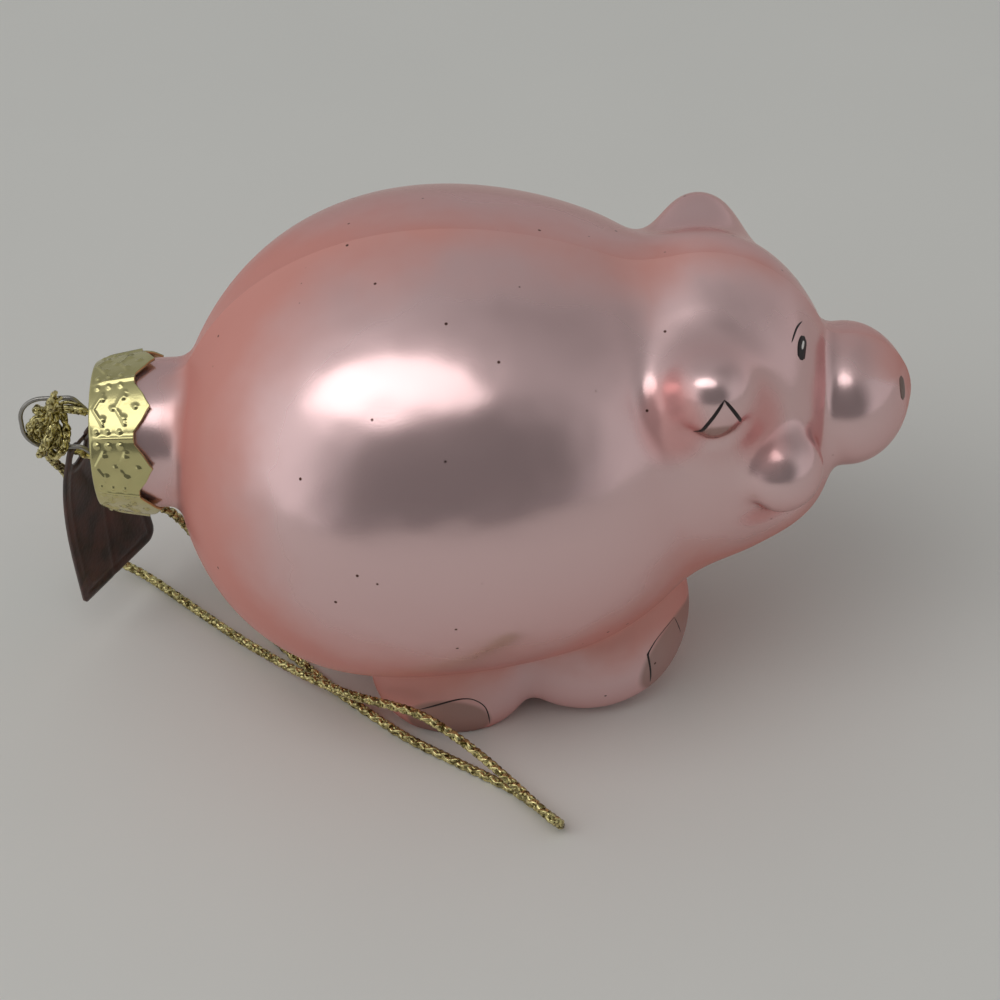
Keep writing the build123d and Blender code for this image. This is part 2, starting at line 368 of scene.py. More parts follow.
# Where the spray gun and the brush went, in millimetres: middle, half sizes and softness of the edge.
NECK_PATCH = ((-35.0, 0.0, 32.3), (6.0, 12.0, 12.0), 0.3)
SNOUT_PATCH = ((42.0, 7.0, 34.5), (6.5, 8.0, 7.5), 0.25)
PEARL = (       # the paler, pearly colour
    NECK_PATCH, SNOUT_PATCH,
    ((3.5, 30.0, 42.0), (27.5, 37.0, 23.5), 0.2),       # flank
    ((30.0, 14.0, 42.0), (19.0, 18.0, 16.0), 0.25),     # head
    ((13.0, 12.0, 5.0), (17.0, 10.0, 5.5), 0.5),        # feet
)
MIRROR = (      # the thin lacquer that lets the silver show
    NECK_PATCH, SNOUT_PATCH,
    ((3.5, 30.0, 41.0), (27.5, 37.0, 24.0), 0.25),      # flank
    ((30.0, 14.0, 40.0), (19.0, 18.0, 14.0), 0.25),     # head
)
WASH_AND_EAR_SHADE = (        # thin grey-brown paint on the hooves, and painted shade under the ear
    ((-3.2, 16.0, 2.4), (4.7, 3.4, 4.3), 0.08),         # rear hoof
    ((23.9, 9.5, 6.5), (7.0, 8.0, 5.4), 0.07),          # front hoof
    ((26.6, 17.6, 43.8), (2.3, 2.0, 1.2), 0.3),         # under the ear: painted shade in the pocket below its lower edge
)
PINK_BLUSH_AND_HOLLOW_SHADE = (       # stronger pink: sprayed on the smile, and painted pink shade in the hollows by the ear
    ((22.1, 16.5, 44.7), (3.4, 4.0, 4.8), 0.35),        # beside the ear: painted pink shade and reflection in its crease, with some sprayed pink
    ((31.5, 15.5, 42.0), (2.6, 3.6, 4.2), 0.6),         # between ear and eye: painted shade of the hollow there
    ((32.5, 14.5, 30.2), (3.2, 3.4, 1.8), 0.5),         # the smile
)
BLUSH_AND_SHADE_COVER = 0.45
WASH_AND_SHADE_COVER = 0.8
SPRAY_DRIFT = 9.0       # the spray's edge wanders by up to half of this, over lengths of this
DUST_CELL = 2.5         # a square this wide holds one dust speck or none
WAVE_LENGTH = 7.0       # blown glass is never quite even, which bends its mirror
WAVE_HEIGHT = 0.22
COAT_GRAIN = 0.25       # the fine grain of the sprayed coat
COAT_GRAIN_HEIGHT = 0.02


def soft_patches(tree, spot, patches):
    """Shades egg-shaped patches on both sides of the pig: 1 inside, fading to 0 at the edge."""
    covered = 0.0
    for centre, size, edge in patches:
        shifted = add_node(tree, "VectorMath", {0: spot, 1: np.multiply(centre, MM)}, operation="SUBTRACT")
        scaled = add_node(tree, "VectorMath", {0: shifted, 1: np.multiply(size, MM)}, operation="DIVIDE")
        reach = add_node(tree, "VectorMath", {0: scaled}, operation="LENGTH")
        patch = add_node(
            tree, "MapRange", {"Value": reach, "From Min": 1 + edge, "From Max": 1 - edge},
            interpolation_type="SMOOTHSTEP")
        covered = add_node(tree, "Math", {0: covered, 1: patch}, operation="MAXIMUM")
    return covered


def lacquered_glass(sizes):
    """Satin lacquer with mica over silvered soda glass: a soft mirror on the flanks, milky pink round them.

    The silver inside the wall gives the mirror. The lacquer over it was sprayed thin and pearly on the
    flanks and the head, and thick and pink on back, belly, rump and throat, where it hides the mirror."""
    material, tree, shader, place = start_material("satin_pink_lacquer_over_silvered_glass", {
        "Coat Weight": 1.0, "Coat Roughness": 0.22, "Coat IOR": 1.06, "Coat Tint": rgba(sizes.edge_pink)})
    axes = add_node(tree, "SeparateXYZ", {0: place}).outputs
    out = add_node(tree, "Math", {0: axes["Y"]}, operation="ABSOLUTE")
    spot = add_node(tree, "CombineXYZ", {"X": axes["X"], "Y": out, "Z": axes["Z"]})
    cloud = add_node(tree, "TexNoise", {"Vector": place, "Scale": 1 / (SPRAY_DRIFT * MM), "Detail": 3.0})
    cloud = cloud.outputs["Color"]
    drift = add_node(tree, "VectorMath", {0: cloud, 1: (0.5, 0.5, 0.5)}, operation="SUBTRACT")
    wander = add_node(tree, "VectorMath", {0: drift, "Scale": SPRAY_DRIFT * MM}, operation="SCALE")
    strayed = add_node(tree, "VectorMath", {0: spot, 1: wander}, operation="ADD")
    pearly = soft_patches(tree, strayed, PEARL)
    # The pink patches also paint the pink shade in the hollows by the ear; the same mask dulls the mirror
    # there.
    blush_and_shade = add_node(tree, "Math", {0: soft_patches(tree, spot, PINK_BLUSH_AND_HOLLOW_SHADE), 1: BLUSH_AND_SHADE_COVER}, operation="MULTIPLY")
    # The grey-brown mask holds the hooves' paint and the painted shade under the ear.
    wash_and_shade = add_node(tree, "Math", {0: soft_patches(tree, spot, WASH_AND_EAR_SHADE), 1: WASH_AND_SHADE_COVER}, operation="MULTIPLY")
    # Dust specks and pinholes in the lacquer, 0.3 mm across and some 8 mm apart.
    cells = add_node(tree, "TexVoronoi", {"Vector": place, "Scale": 1 / (DUST_CELL * MM)})
    speck = add_node(tree, "MapRange", {"Value": cells, "From Min": 0.08, "From Max": 0.05})
    lot = add_node(tree, "SeparateColor", {0: cells.outputs["Color"]})
    drawn = add_node(tree, "Math", {0: lot, 1: 0.6}, operation="GREATER_THAN")
    dust = add_node(tree, "Math", {0: speck, 1: drawn}, operation="MULTIPLY")
    coats = rgba(sizes.lacquer_pink)
    for cover, tint in (
            (pearly, sizes.pearl), (blush_and_shade, sizes.blush), (wash_and_shade, sizes.hoof), (dust, colour("#5a3f38"))):
        coats = add_node(tree, "Mix", {"Factor": cover, "A": coats, "B": rgba(tint)}, data_type="RGBA")
    bright = soft_patches(tree, strayed, MIRROR)
    mirror = add_node(tree, "MapRange", {"Value": bright, "To Min": 0.22, "To Max": 0.86})
    veiled = add_node(tree, "Math", {0: mirror, 1: blush_and_shade}, operation="SUBTRACT")
    satin = add_node(tree, "MapRange", {"Value": bright, "To Min": 0.58, "To Max": 0.23})
    waves = add_node(tree, "TexNoise", {"Vector": place, "Scale": 1 / (WAVE_LENGTH * MM), "Detail": 1.0})
    uneven = add_node(tree, "Bump", {"Height": waves, "Strength": 1.0, "Distance": WAVE_HEIGHT * MM})
    grain = add_node(tree, "TexNoise", {"Vector": place, "Scale": 1 / (COAT_GRAIN * MM), "Detail": 2.0})
    bump = add_node(tree, "Bump", {
        "Height": grain, "Normal": uneven, "Strength": 0.2, "Distance": COAT_GRAIN_HEIGHT * MM})
    fill(shader, {"Base Color": coats, "Metallic": veiled, "Roughness": satin, "Normal": bump})
    return material


class GlassSizes(bpy.types.PropertyGroup):
    wall: length_prop("Glass wall", "Thickness of the blown wall", 1.0 * MM)
    grid: FloatProperty(
        name="Skin grid", description="Width of the skin's mesh cells, in millimetres", default=0.6, min=0.4)
    ridge_height: FloatProperty(
        name="Seam ridge height", description="How far the mould's seam stands up, in millimetres",
        default=0.4, min=0.0)
    ridge_width: FloatProperty(
        name="Seam ridge width", description="How fast the seam falls away, in millimetres",
        default=1.8, min=0.1)
    lacquer_pink: colour_prop("Lacquer pink", "Colour on back, belly and feet", colour("#e2aca3"))
    pearl: colour_prop("Pearl", "Paler colour of the mica on the flanks", colour("#ecd6d8"))
    edge_pink: colour_prop(
        "Edge pink", "What the lacquer's depth adds where it is seen aslant", (0.96, 0.85, 0.84))
    # This pink is also the colour of the painted shade in the hollows beside the ear and between ear and eye.
    blush: colour_prop("Blush", "Pink sprayed beside the ears and on the smile", colour("#e58f88"))
    # This grey-brown is also the colour of the painted shade under the ears.
    hoof: colour_prop("Hoof wash", "Thin paint on the hooves", colour("#a5928a"))


def glass_blank(context, grid):
    """Sets the lobes and the neck into one another and makes them one rough skin."""
    bm = bmesh.new()
    for lobe in (RUMP, REAR_FOOT) + TRUNK + FEET:
        for side in (1, -1) if lobe.centre[1] else (1,):
            place = Matrix.Translation(Vector(lobe.centre) * Vector((1, side, 1)))
            shape = place @ lobe_matrix(lobe, side) @ Matrix.Diagonal((*lobe.radii, 1.0))
            bmesh.ops.create_icosphere(bm, subdivisions=BALL_CUTS, radius=1.0, matrix=shape)
    place = Matrix.Translation((CONE_MIDDLE_X, 0, NECK_AXIS_Z)) @ Matrix.Rotation(math.radians(90), 4, "Y")
    bmesh.ops.create_cone(
        bm, cap_ends=True, segments=96, radius1=MOUTH_RADIUS - 0.3, radius2=NECK_RADIUS, depth=CONE_LENGTH,
        matrix=place)
    blank = bpy.data.meshes.new("glass_blank")
    bm.to_mesh(blank)
    bm.free()
    holder = bpy.data.objects.new("glass_blank", blank)
    context.scene.collection.objects.link(holder)
    remesh = holder.modifiers.new("one_skin", "REMESH")
    remesh.mode = "VOXEL"
    remesh.voxel_size = grid
    skin = bpy.data.meshes.new_from_object(holder.evaluated_get(context.evaluated_depsgraph_get()))
    bpy.data.objects.remove(holder)
    bpy.data.meshes.remove(blank)
    bm = bmesh.new()
    bm.from_mesh(skin)
    bpy.data.meshes.remove(skin)
    return bm


class ORNAMENT_OT_blow_glass(bpy.types.Operator):
    """Blow the pig's glass body into its mould, silver it and lacquer it"""
    bl_idname = "ornament.blow_glass"
    bl_label = "Blow Glass Body"

    def execute(self, context):
        sizes = context.scene.ornament_glass
        bm = glass_blank(context, sizes.grid)
        for rounds in SETTLINGS:
            bmesh.ops.smooth_vert(
                bm, verts=bm.verts, factor=0.5, use_axis_x=True, use_axis_y=True, use_axis_z=True)
            move_to(bm, settle(places_of(bm), sizes, rounds))
        # One half of the mould, then its mirror image, so that the seam runs along the middle.
        for place, outward, reach in (((0, 0, 0), (0, 1, 0), 0.2), ((MOUTH_X, 0, 0), (-1, 0, 0), 0.1)):
            bmesh.ops.bisect_plane(
                bm, geom=whole(bm), dist=reach, plane_co=place, plane_no=outward, clear_outer=True)
        places = places_of(bm)
        held = np.ones_like(places)
        held[np.abs(places[:, 1]) < SEAM_REACH, 1] = 0
        held[np.abs(places[:, 0] - MOUTH_X) < MOUTH_REACH, 0] = 0
        places[:, 1] *= held[:, 1]
        places[held[:, 0] == 0, 0] = MOUTH_X
        move_to(bm, settle(places, sizes, 4, held=held))
        flat = [face for face in bm.faces if all(abs(vertex.co.y) < ON_SEAM for vertex in face.verts)]
        bmesh.ops.delete(bm, geom=flat, context="FACES")
        bmesh.ops.mirror(bm, geom=whole(bm), axis="Y", merge_dist=0.02)
        bmesh.ops.remove_doubles(bm, verts=bm.verts, dist=0.01)
        bmesh.ops.recalc_face_normals(bm, faces=bm.faces)
        for edge in bm.edges:
            if all(abs(vertex.co.y) < ON_SEAM for vertex in edge.verts):
                edge.smooth = False
        piece = add_piece(
            "glass_pig", mesh_of(bm, "glass_pig"), lacquered_glass(sizes), "glass",
            ["glass_body"])
        give_wall(piece, "blown_wall", sizes.wall, -1.0)
        return {"FINISHED"}


# ---------------------------------------------------------------- painted marks on the glass

# Each mark is the line of one brush stroke on the near side, with its width and the share of it that is
# left at the start and at the end, in millimetres.
Stroke = namedtuple("Stroke", "places width start end")
EAR_TIP = (27.2, -17.9, 48.1)
HOOF_TOP = (22.2, -10.1, 11.7)
INK = (
    # eye and brow
    Stroke(((35.55, -7.5, 44.75), (35.7, -6.6, 45.5), (36.0, -5.6, 45.8), (36.2, -5.0, 45.95)),
           1.45, 0.7, 0.05),
    Stroke(((34.7, -7.0, 46.7), (35.2, -5.7, 47.1), (35.6, -4.5, 47.1), (36.0, -3.6, 46.8)), 0.24, 0.3, 0.1),
    # ear, rising and falling
    Stroke(((24.0, -17.1, 43.4), (24.8, -17.6, 43.9), (25.8, -18.3, 46.0), EAR_TIP), 0.36, 0.3, 0.5),
    Stroke((EAR_TIP, (27.9, -18.0, 47.1), (29.1, -16.9, 44.2)), 0.38, 0.5, 0.5),
    # outlines of the rear hoof and of the front one
    Stroke(((-6.4, -16.2, 4.8), (-3.8, -16.8, 6.3), (-0.8, -16.8, 7.1), (0.9, -16.5, 5.6),
            (1.35, -16.0, 3.6), (1.3, -15.0, 1.2)), 0.3, 0.2, 0.3),
    Stroke((HOOF_TOP, (20.5, -12.2, 11.3), (19.1, -13.7, 9.8), (19.1, -13.7, 9.2), (19.3, -13.0, 4.8)),
           0.3, 0.4, 0.4),
    Stroke((HOOF_TOP, (22.6, -9.9, 10.5), (22.9, -9.4, 8.8)), 0.22, 0.4, 0.2),
)
# A pale dab on the eye's upper part: a painted highlight.
PAINTED_EYE_HIGHLIGHT = (Stroke(((35.8, -6.6, 45.45), (36.08, -5.6, 45.8)), 0.34, 0.4, 0.2),)
GREY_PAINT_AND_EAR_SHADE = (
    # nostril, and the line under the ear, which is painted shade along the ear's lower edge
    Stroke(((46.9, -3.7, 36.0), (46.75, -3.1, 37.1), (46.8, -2.2, 38.1)), 1.3, 0.3, 0.3),
    Stroke(((24.3, -17.4, 43.5), (25.4, -17.2, 42.7), (26.4, -17.2, 42.6), (27.6, -17.3, 43.2),
            (28.8, -17.0, 44.2)), 0.3, 0.3, 0.3),
)
FAR_SHIFT = (0.0, 1.7, -1.7)    # the far side's marks were painted a little further out and lower
HEART = (20.0, 0.0, 30.0)       # the strokes' films face away from here
STROKE_STEP = 0.1
FILM_THICKNESS = 0.03


def stroke_mesh(name, strokes, sizes, proud):
    """Lays brush strokes on the skin, on both sides of the pig, as thin films that thin out at their ends."""
    bm = bmesh.new()
    for stroke, side in [(stroke, side) for stroke in strokes for side in (1, -1)]:
        line = smooth_line(name, stroke.places) * (1, side, 1)
        if side < 0:
            line = line + FAR_SHIFT
        points, reached = evenly(line, STROKE_STEP)
        part = bmesh.new()
        bmesh.ops.create_grid(part, x_segments=len(points) - 1, y_segments=4, size=1.0)
        flat = places_of(part)
        share = (flat[:, 0] + 1) / 2
        middle, run = [
            np.stack([np.interp(share * reached[-1], reached, values[:, i]) for i in range(3)], axis=1)
            for values in (points, np.gradient(points, axis=0))]
        across = np.cross(run, middle - HEART)
        across /= np.linalg.norm(across, axis=1, keepdims=True)
        # A round-ended stroke: full width in the middle, a share of it at each end.
        swell = np.sqrt(np.clip(1 - np.square(np.clip((share - 0.5) * 2, -1, 1)), 0, 1))
        ends = stroke.start + (stroke.end - stroke.start) * share
        tip = np.minimum(1, 6 * np.minimum(share, 1 - share) + 0.35)
        width = stroke.width * (ends + (1 - ends) * swell) * tip
        places = middle + across * (flat[:, 1] * width / 2)[:, None]
        move_to(part, settle(places, sizes, 4, proud=proud))
        bmesh.ops.recalc_face_normals(part, faces=part.faces)
        bmesh.ops.solidify(part, geom=part.faces[:], thickness=FILM_THICKNESS)
        bmesh.ops.recalc_face_normals(part, faces=part.faces)
        film = bpy.data.meshes.new("film")
        part.to_mesh(film)
        bm.from_mesh(film)
        bpy.data.meshes.remove(film)
        part.free()
    return mesh_of(bm, name)


def brushed_enamel(name, tint, roughness):
    """Enamel paint put on with a fine brush: a thin even film, slightly uneven in its gloss."""
    material, tree, shader, place = start_material(name, {"Roughness": roughness, "IOR": 1.35})
    streak = add_node(tree, "TexNoise", {"Vector": place, "Scale": 1 / (0.6 * MM), "Detail": 3.0})
    thin = rgba([min(1.0, c * 1.8 + 0.01) for c in tint])
    tone = add_node(tree, "Mix", {"Factor": streak, "A": rgba(tint), "B": thin}, data_type="RGBA")
    fill(shader, {"Base Color": tone})
    return material


class InkSizes(bpy.types.PropertyGroup):
    ink: colour_prop("Ink", "Colour of eyes and outlines", colour("#1d1315"))
    # This grey is also the colour of the painted shade line under the ears.
    grey: colour_prop("Grey", "Thinner paint of the nostrils and under the ears", colour("#6a5650"))
    # The colour of the painted highlight in the eye.
    glint: colour_prop("Eye glint", "Light dab in the eye", colour("#cfc3c0"))
    film: FloatProperty(
        name="Paint film", description="How far the paint stands off the glass, in millimetres",
        default=0.02, min=0.0)


class ORNAMENT_OT_paint_marks(bpy.types.Operator):
    """Paint the eyes, brows, nostrils, ears and hoof outlines"""
    bl_idname = "ornament.paint_marks"
    bl_label = "Paint Marks"

    def execute(self, context):
        sizes = context.scene.ornament_glass
        paint = context.scene.ornament_ink
        # The painted eye highlight lies on the eye's film.
        for name, strokes, finish, tint, roughness, proud in (
                ("painted_marks", INK, "brushed_black_enamel", paint.ink, 0.35, paint.film),
                # The grey marks hold the nostrils' paint and the painted shade line under the ears.
                ("painted_grey_marks_and_ear_shade", GREY_PAINT_AND_EAR_SHADE, "brushed_grey_enamel", paint.grey, 0.4, paint.film),
                ("painted_eye_highlights", PAINTED_EYE_HIGHLIGHT, "pale_enamel_painted_highlight", paint.glint, 0.3,
                 paint.film + FILM_THICKNESS)):
            mesh = stroke_mesh(name, strokes, sizes, proud)
            add_piece(name, mesh, brushed_enamel(finish, tint, roughness), "glass")
        return {"FINISHED"}


# ---------------------------------------------------------------- the crown cap

CAP_END_X = -39.65
CAP_EDGE_X = -34.65
CAP_TOOTH = 1.8
CAP_END_RADIUS = 8.1
CAP_EDGE_RADIUS = 8.95
CAP_CORNER = 0.35
CAP_FIRST_PLEAT = 10.1          # degrees from +Y towards +Z
CAP_PANELS = 8
CAP_PANEL = 360.0 / CAP_PANELS
CAP_FLARE = 1.05                # the teeth flare no further than this
CAP_RINGS = (34, 6, 42)         # rings of mesh on the end plate, round the corner and along the wall
ON_PLATE = CAP_END_X + 0.01
PLEAT_HEIGHT, PLEAT_WIDTH = 0.25, 0.07
PANEL_SAG = 0.12                # how far a panel sinks between its pleats
RING_RADIUS, RING_WIDTH, RING_HEIGHT = 5.6, 0.45, 0.12      # the low stamped ring that stiffens the plate
WIRE_HOLES = (3.0, -3.0)
WIRE_HOLE_RADIUS = 0.4
# The beads stamped on each panel: places from its middle and from the end plate, and radii.
BEADS = (
    ((2.75, 0.9), 0.34), ((2.75, 2.15), 0.34), ((2.75, 3.45), 0.34),    # by the pleats
    ((1.25, 1.6), 0.42), ((1.25, 3.9), 0.42), ((0.0, 2.7), 0.36), ((0.0, 5.2), 0.36),
)
ZIGZAGS = (0.55, 3.0)           # how far from the end plate each zigzag starts
ZIGZAG_SLOPE, ZIGZAG_REACH, ZIGZAG_WIDTH, ZIGZAG_HEIGHT = 0.55, 2.1, 0.18, 0.8
# One tooth: how far its edge stands out, from the panel's middle to the pleat.
TOOTH_ACROSS = (0.0, 0.12, 0.45, 0.72, 0.8, 1.0)
TOOTH_OUT = (1.0, 0.84, 0.5, 0.12, 0.0, 0.0)


def smooth_step(value):
    """Rises smoothly from 0 at 0 to 1 at 1."""
    value = np.clip(value, 0, 1)
    return value * value * (3 - 2 * value)


def embossing(u, v):
    """Height of the stamped pattern on one panel: rows of beads by the pleats, zigzags and beads between."""
    height = np.zeros_like(u)
    side = np.abs(u)
    for at, radius in BEADS:
        height = np.maximum(height, smooth_step(1.2 - np.hypot(side - at[0], v - at[1]) / radius))
    for start in ZIGZAGS:
        ridge = smooth_step(1.4 - np.abs(v - start - side * ZIGZAG_SLOPE) / ZIGZAG_WIDTH)
        height = np.maximum(height, ZIGZAG_HEIGHT * ridge * (side < ZIGZAG_REACH))
    return height


class CapSizes(bpy.types.PropertyGroup):
    sheet: length_prop("Sheet", "Thickness of the cap's sheet", 0.3 * MM)
    emboss: FloatProperty(
        name="Embossing", description="Height of the stamped pattern, in millimetres", default=0.2, min=0.0)
    steps: IntProperty(
        name="Steps per panel", description="Mesh cells across one of the eight panels", default=40, min=8)
    gold: colour_prop("Gold", "Colour of the lacquered tinplate", colour("#d8cf96"))


def stamped_tinplate(sizes):
    """Gold-lacquered tinplate, stamped: a bright pale mirror, softened by fine rolling lines and handling."""
    material, tree, shader, place = start_material("gold_lacquered_tinplate", {"Metallic": 1.0})
    tarnish = add_node(tree, "TexNoise", {"Vector": place, "Scale": 1 / (2.5 * MM), "Detail": 4.0})
    dull = rgba([c * 0.72 for c in sizes.gold])
    tone = add_node(tree, "Mix", {"Factor": tarnish, "A": dull, "B": rgba(sizes.gold)}, data_type="RGBA")
    gloss = add_node(tree, "MapRange", {"Value": tarnish, "To Min": 0.1, "To Max": 0.24})
    dents = add_node(tree, "TexNoise", {"Vector": place, "Scale": 1 / (0.5 * MM), "Detail": 2.0})
    bump = add_node(tree, "Bump", {"Height": dents, "Strength": 0.25, "Distance": 0.03 * MM})
    fill(shader, {"Base Color": tone, "Roughness": gloss, "Normal": bump})
    return material


def cap_blank(steps):
    """Spins the cap's profile: out along the end plate, round its corner and along the wall."""
    bm = bmesh.new()
    on_plate, on_corner, on_wall = CAP_RINGS
    flat = [(CAP_END_X, radius) for radius in np.linspace(0.0, CAP_END_RADIUS - CAP_CORNER, on_plate)]
    corner = [
        (CAP_END_X + CAP_CORNER * (1 - math.cos(angle)), CAP_END_RADIUS - CAP_CORNER * (1 - math.sin(angle)))
        for angle in np.linspace(0, math.pi / 2, on_corner)[1:]]
    wall = [(x, CAP_END_RADIUS) for x in np.linspace(CAP_END_X + CAP_CORNER, CAP_EDGE_X, on_wall)[1:]]
    chain = [bm.verts.new((x, 0.0, NECK_AXIS_Z + radius)) for x, radius in flat + corner + wall]
    edges = [bm.edges.new(pair) for pair in zip(chain[:-1], chain[1:])]
    bmesh.ops.spin(
        bm, geom=chain + edges, cent=(0, 0, NECK_AXIS_Z), axis=(1, 0, 0), angle=2 * math.pi,
        steps=steps * CAP_PANELS, use_merge=True)
    bmesh.ops.remove_doubles(bm, verts=bm.verts, dist=0.001)
    return bm


def punch_wire_holes(bm):
    """Cuts the wire holes, and gives all places with the holes' loose corners drawn onto their circles."""
    for hole_z in WIRE_HOLES:
        inside = []
        for face in bm.faces:
            middle = face.calc_center_median()
            away = math.hypot(middle.y, middle.z - NECK_AXIS_Z - hole_z)
            if away < WIRE_HOLE_RADIUS and middle.x < ON_PLATE:
                inside.append(face)
        bmesh.ops.delete(bm, geom=inside, context="FACES")
    places = places_of(bm)
    rim = np.array([vertex.is_boundary for vertex in bm.verts]) & (places[:, 0] < ON_PLATE)
    for hole_z in WIRE_HOLES:
        centre = np.array((0.0, NECK_AXIS_Z + hole_z))
        away = places[:, 1:] - centre
        gap = np.linalg.norm(away, axis=1)
        near = rim & (gap < 1.5 * WIRE_HOLE_RADIUS)
        places[near, 1:] = centre + away[near] * (WIRE_HOLE_RADIUS / gap[near])[:, None]
    return places


class ORNAMENT_OT_stamp_cap(bpy.types.Operator):
    """Stamp the crown cap with its eight pleats, teeth and embossing"""
    bl_idname = "ornament.stamp_cap"
    bl_label = "Stamp Crown Cap"

    def execute(self, context):
        sizes = context.scene.ornament_cap
        bm = cap_blank(sizes.steps)
        places = punch_wire_holes(bm)
        y, z = places[:, 1], places[:, 2] - NECK_AXIS_Z
        radius = np.hypot(y, z)
        angle = np.degrees(np.arctan2(z, y)) - CAP_FIRST_PLEAT
        share = np.mod(angle / CAP_PANEL, 1.0) - 0.5            # -0.5 and 0.5 on the pleats
        across = np.abs(share) * 2
        depth = np.clip((places[:, 0] - CAP_END_X) / (CAP_EDGE_X - CAP_END_X), 0, 1)
        on_wall = smooth_step((places[:, 0] - CAP_END_X) / CAP_CORNER)
        # Teeth: each panel's edge steps out twice to a point in its middle.
        tooth = np.interp(across, TOOTH_ACROSS, TOOTH_OUT)
        stretch = smooth_step((depth - 0.35) / 0.65)
        places[:, 0] += stretch * tooth * CAP_TOOTH * (depth > 0)
        v = places[:, 0] - CAP_END_X
        u = share * math.radians(CAP_PANEL) * CAP_EDGE_RADIUS
        flare = np.minimum((CAP_EDGE_RADIUS - CAP_END_RADIUS) * v / (CAP_EDGE_X - CAP_END_X), CAP_FLARE)
        pleat = PLEAT_HEIGHT * np.exp(-np.square((1 - across) / PLEAT_WIDTH)) * np.clip(v / 1.5, 0, 1)
        sag = -PANEL_SAG * np.cos(math.pi * share * 2) * np.clip(v / 2, 0, 1)
        lift = on_wall * (flare + pleat + sag - PANEL_SAG + sizes.emboss * embossing(u, v))
        grown = np.where(radius > 1e-6, (radius + lift) / np.maximum(radius, 1e-6), 1.0)
        places[:, 1] = y * grown
        places[:, 2] = NECK_AXIS_Z + z * grown
        places[:, 0] += (1 - on_wall) * RING_HEIGHT * np.exp(-np.square((radius - RING_RADIUS) / RING_WIDTH))
        move_to(bm, places)
        bmesh.ops.recalc_face_normals(bm, faces=bm.faces)
        top = max(bm.faces, key=lambda face: face.calc_center_median().z)
        if top.normal.z < 0:
            bmesh.ops.reverse_faces(bm, faces=bm.faces)
        piece = add_piece(
            "crown_cap_stamped", mesh_of(bm, "crown_cap_stamped"), stamped_tinplate(sizes), "cap",
            ["crown_cap"])
        give_wall(piece, "sheet", sizes.sheet, -1.0)
        return {"FINISHED"}


# ---------------------------------------------------------------- the wire hanger

class ORNAMENT_OT_finish_hanger(bpy.types.Operator):
    """Give the bent wire hanger its drawn steel finish"""
    bl_idname = "ornament.finish_hanger"
    bl_label = "Finish Wire Hanger"

    def execute(self, context):
        # Bare drawn steel wire: grey, with fine lines along it that catch the light.
        material, tree, shader, place = start_material(
            "drawn_steel_wire", {"Metallic": 1.0, "Roughness": 0.3})
        grain = add_node(tree, "TexNoise", {"Vector": place, "Scale": 1 / (0.12 * MM), "Detail": 3.0})
        dull, bright = rgba(colour("#77736f")), rgba(colour("#b9b6b1"))
        tone = add_node(tree, "Mix", {"Factor": grain, "A": dull, "B": bright}, data_type="RGBA")
        bump = add_node(tree, "Bump", {"Height": grain, "Strength": 0.15, "Distance": 0.01 * MM})
        fill(shader, {"Base Color": tone, "Normal": bump})
        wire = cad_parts["hanger_wire"]
        wire.data.materials.clear()
        wire.data.materials.append(material)
        return {"FINISHED"}


# ---------------------------------------------------------------- the braided cord and its knot

# The route's points in metres, as in the part's source: out of the knot, down behind the tag,
# over the floor to the fold, back beside it, up behind the rump and through the tag's hole.
CORD_ROUTE = (
    (-0.0464, 0.0009, 0.0304), (-0.0466, 0.0030, 0.0269), (-0.0453, 0.0064, 0.0216),
    (-0.0464, 0.0096, 0.0148), (-0.0466, 0.0120, 0.0083), (-0.0462, 0.0134, 0.0046),
    (-0.0434, 0.0140, 0.0017), (-0.0400, 0.0126, 0.0007), (-0.0362, 0.0090, 0.0006),
    (-0.0318, 0.0046, 0.0006), (-0.0269, -0.0004, 0.0010), (-0.0223, -0.0052, 0.0020),
    (-0.0179, -0.0096, 0.0032), (-0.0138, -0.0137, 0.0048), (-0.0098, -0.0167, 0.0063),
    (-0.0062, -0.0187, 0.0067), (-0.0030, -0.0202, 0.0053), (0.0000, -0.0222, 0.0040),
    (0.0031, -0.0254, 0.0034), (0.0058, -0.0288, 0.0032), (0.0082, -0.0318, 0.0030),
    (0.0094, -0.0307, 0.0008), (0.0069, -0.0280, 0.0007), (0.0040, -0.0248, 0.0006),
    (0.0005, -0.0223, 0.0006), (-0.0035, -0.0195, 0.0006), (-0.0080, -0.0163, 0.0006),
    (-0.0125, -0.0120, 0.0006), (-0.0169, -0.0076, 0.0006), (-0.0208, -0.0031, 0.0006),
    (-0.0246, 0.0018, 0.0006), (-0.0278, 0.0068, 0.0008), (-0.0304, 0.0103, 0.0022),
    (-0.0322, 0.0115, 0.0050), (-0.0337, 0.0115, 0.0086), (-0.0353, 0.0092, 0.0136),
    (-0.0382, 0.0080, 0.0158), (-0.0406, 0.0064, 0.0188), (-0.0409, 0.0043, 0.0254),
    (-0.0451, 0.0032, 0.0282), (-0.0443, 0.0002, 0.0324),
)
# The knot winds three times round and four times up and down, drawn tight into one lump. In millimetres.
KNOT_MIDDLE = (-45.25, 0.0, 33.0)
KNOT_WIDTH = 1.15               # from the knot's axis to the middle of a turn
KNOT_TURN = 0.8                 # how far a turn swings out and in
KNOT_RISE = 2.7
KNOT_ROUNDS, KNOT_SWINGS = 3, 4
KNOT_SIZES = (1.0, 0.55)        # the outer winding and the one that fills it
TAIL_LINES = (
    ((-44.9, -0.7, 35.0), (-44.5, -1.2, 36.6), (-43.8, -1.7, 38.4), (-42.7, -1.7, 39.8)),
    ((-44.6, 0.2, 35.0), (-43.6, -0.4, 36.6), (-42.2, -0.5, 36.7), (-40.2, -0.3, 35.7)),
)
TAIL_YARNS = 10
